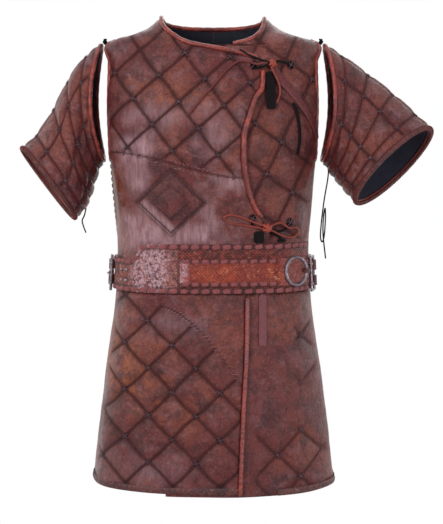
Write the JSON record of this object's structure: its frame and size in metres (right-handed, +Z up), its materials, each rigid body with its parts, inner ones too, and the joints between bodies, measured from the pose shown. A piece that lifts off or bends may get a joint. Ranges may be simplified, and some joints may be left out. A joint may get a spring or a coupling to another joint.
{
  "type": "leather armour tunic",
  "caption": "Wrap-over leather tunic with laced short sleeves, a wide laced belt and a split skirt, held open as if worn.",
  "frame": {"origin": "middle of the neck opening at the height of the neck-to-shoulder points, where a stand or a wearer's shoulders carry the tunic", "axes": "+X to the wearer's left, -Y out of the front, +Z up"},
  "size_m": [0.779, 0.3123, 0.8821],
  "materials": {
    "over_leather": "waxed maroon-brown",
    "under_leather": "waxed maroon-brown",
    "back_leather": "waxed maroon-brown",
    "sleeve_leather": "waxed maroon-brown",
    "skirt_leather": "waxed brown",
    "lining": "dark woven",
    "piping": "glossy orange-brown",
    "knot_thread": "dark waxed thread",
    "patch": "waxed brown",
    "lacing": "pale greased thong",
    "eyelet": "dull",
    "thong": "orange",
    "wide_thong": "purple-brown",
    "dark_tab": "black",
    "belt_leather": "embossed orange-red",
    "strap_leather": "embossed orange",
    "tab_leather": "maroon",
    "steel": "worn",
    "tail_leather": "dusty pink-brown"
  },
  "bodies": {
    "torso": {"front_over_panel": "over_leather", "front_under_panel": "under_leather", "back_panel_right": "back_leather", "back_panel_left": "back_leather", "lining_front_right": "lining", "lining_front_left": "lining", "lining_back_right": "lining", "lining_back_left": "lining", "neck_piping_over": "piping", "neck_piping_under": "piping", "neck_piping_back": "piping", "front_edge_piping": "piping", "armhole_piping_right": "piping", "armhole_piping_left": "piping", "over_panel_knots": "knot_thread", "under_panel_knots": "knot_thread", "back_panel_knots": "knot_thread", "chest_patch": "patch", "yoke_seam_lacing": "lacing", "side_lacing": "lacing", "tie_eyelets": "eyelet", "neck_tie_knot": "thong", "neck_thong_thin": "thong", "neck_thong_wide": "wide_thong", "neck_thong_short": "thong", "neck_lace_dark": "dark_tab", "neck_tab": "dark_tab", "waist_tie_knot": "thong", "waist_bow_left": "thong", "waist_bow_right": "thong", "belt_front": "belt_leather", "belt_back": "belt_leather", "belt_strap": "strap_leather", "belt_lacing": "lacing", "strap_lacing": "lacing", "belt_rivets": "steel", "right_hip_tab": "tab_leather", "left_hip_tab": "tab_leather", "ring_tab": "tab_leather"},
    "right_hip_frame": {"right_hip_frame": "steel"},
    "right_hip_tongue": {"right_hip_tongue": "steel"},
    "left_hip_frame": {"left_hip_frame": "steel"},
    "belt_ring": {"belt_ring": "steel"},
    "shoulder_lace_right": {"shoulder_lace_right": "knot_thread"},
    "shoulder_lace_left": {"shoulder_lace_left": "knot_thread"},
    "sleeve_right": {"sleeve_right": "sleeve_leather", "sleeve_lining_right": "lining", "sleeve_trim_right": "piping", "sleeve_laces_right": "dark_tab"},
    "sleeve_left": {"sleeve_left": "sleeve_leather", "sleeve_lining_left": "lining", "sleeve_trim_left": "piping", "sleeve_lace_left": "dark_tab"},
    "skirt_over": {"skirt_over": "skirt_leather", "skirt_over_trim": "piping"},
    "skirt_under": {"skirt_under": "skirt_leather", "skirt_under_trim": "piping"},
    "skirt_back": {"skirt_back": "skirt_leather", "skirt_back_trim": "piping"},
    "belt_tail": {"belt_tail": "tail_leather"}
  },
  "joints": [
    {"name": "sleeve_right_swing", "type": "hinge", "parent": "torso", "child": "shoulder_lace_right", "pos_m": [-0.2026, 0, -0.0416], "axis": [1, 0, 0], "range_deg": [-8, 8]},
    {"name": "sleeve_left_swing", "type": "hinge", "parent": "torso", "child": "shoulder_lace_left", "pos_m": [0.2026, 0, -0.0416], "axis": [1, 0, 0], "range_deg": [-8, 8]},
    {"name": "sleeve_right_raise", "type": "hinge", "parent": "shoulder_lace_right", "child": "sleeve_right", "pos_m": [-0.2026, 0, -0.0416], "axis": [0, 1, 0], "range_deg": [0, 50]},
    {"name": "sleeve_left_raise", "type": "hinge", "parent": "shoulder_lace_left", "child": "sleeve_left", "pos_m": [0.2026, 0, -0.0416], "axis": [0, -1, 0], "range_deg": [0, 50]},
    {"name": "skirt_over_lift", "type": "hinge", "parent": "torso", "child": "skirt_over", "pos_m": [0, -0.1359, -0.5045], "axis": [-1, 0, 0], "range_deg": [0, 20], "stiffness_Nm_per_rad": 1.2, "springref_deg": -25.78},
    {"name": "skirt_under_lift", "type": "hinge", "parent": "torso", "child": "skirt_under", "pos_m": [0, -0.1359, -0.5045], "axis": [-1, 0, 0], "range_deg": [0, 12], "stiffness_Nm_per_rad": 1.2, "springref_deg": -25.78},
    {"name": "skirt_back_lift", "type": "hinge", "parent": "torso", "child": "skirt_back", "pos_m": [0, 0.1205, -0.5045], "axis": [1, 0, 0], "range_deg": [0, 20], "stiffness_Nm_per_rad": 1.6, "springref_deg": -25.78},
    {"name": "right_hip_frame_turn", "type": "hinge", "parent": "torso", "child": "right_hip_frame", "pos_m": [-0.19262, -0.01351, -0.47227], "axis": [-0.0517, -0.0033, -0.9987], "range_deg": [0, 100]},
    {"name": "right_hip_tongue_turn", "type": "hinge", "parent": "right_hip_frame", "child": "right_hip_tongue", "pos_m": [-0.19262, -0.01351, -0.47227], "axis": [-0.0517, -0.0033, -0.9987], "range_deg": [0, 40]},
    {"name": "left_hip_frame_turn", "type": "hinge", "parent": "torso", "child": "left_hip_frame", "pos_m": [0.18954, -0.03489, -0.47226], "axis": [-0.0511, 0.012, 0.9986], "range_deg": [0, 100]},
    {"name": "belt_ring_turn", "type": "hinge", "parent": "torso", "child": "belt_ring", "pos_m": [0.17372, -0.08098, -0.46416], "axis": [-0.0295, 0.0361, 0.9989], "range_deg": [0, 110]},
    {"name": "belt_tail_swing", "type": "hinge", "parent": "skirt_under", "child": "belt_tail", "pos_m": [0.09, -0.11755, -0.5045], "axis": [-1, 0, 0], "range_deg": [0, 45]}
  ],
  "couplings": [
    {"joint": "skirt_under_lift", "follows": "skirt_over_lift", "ratio": 0.6}
  ]
}
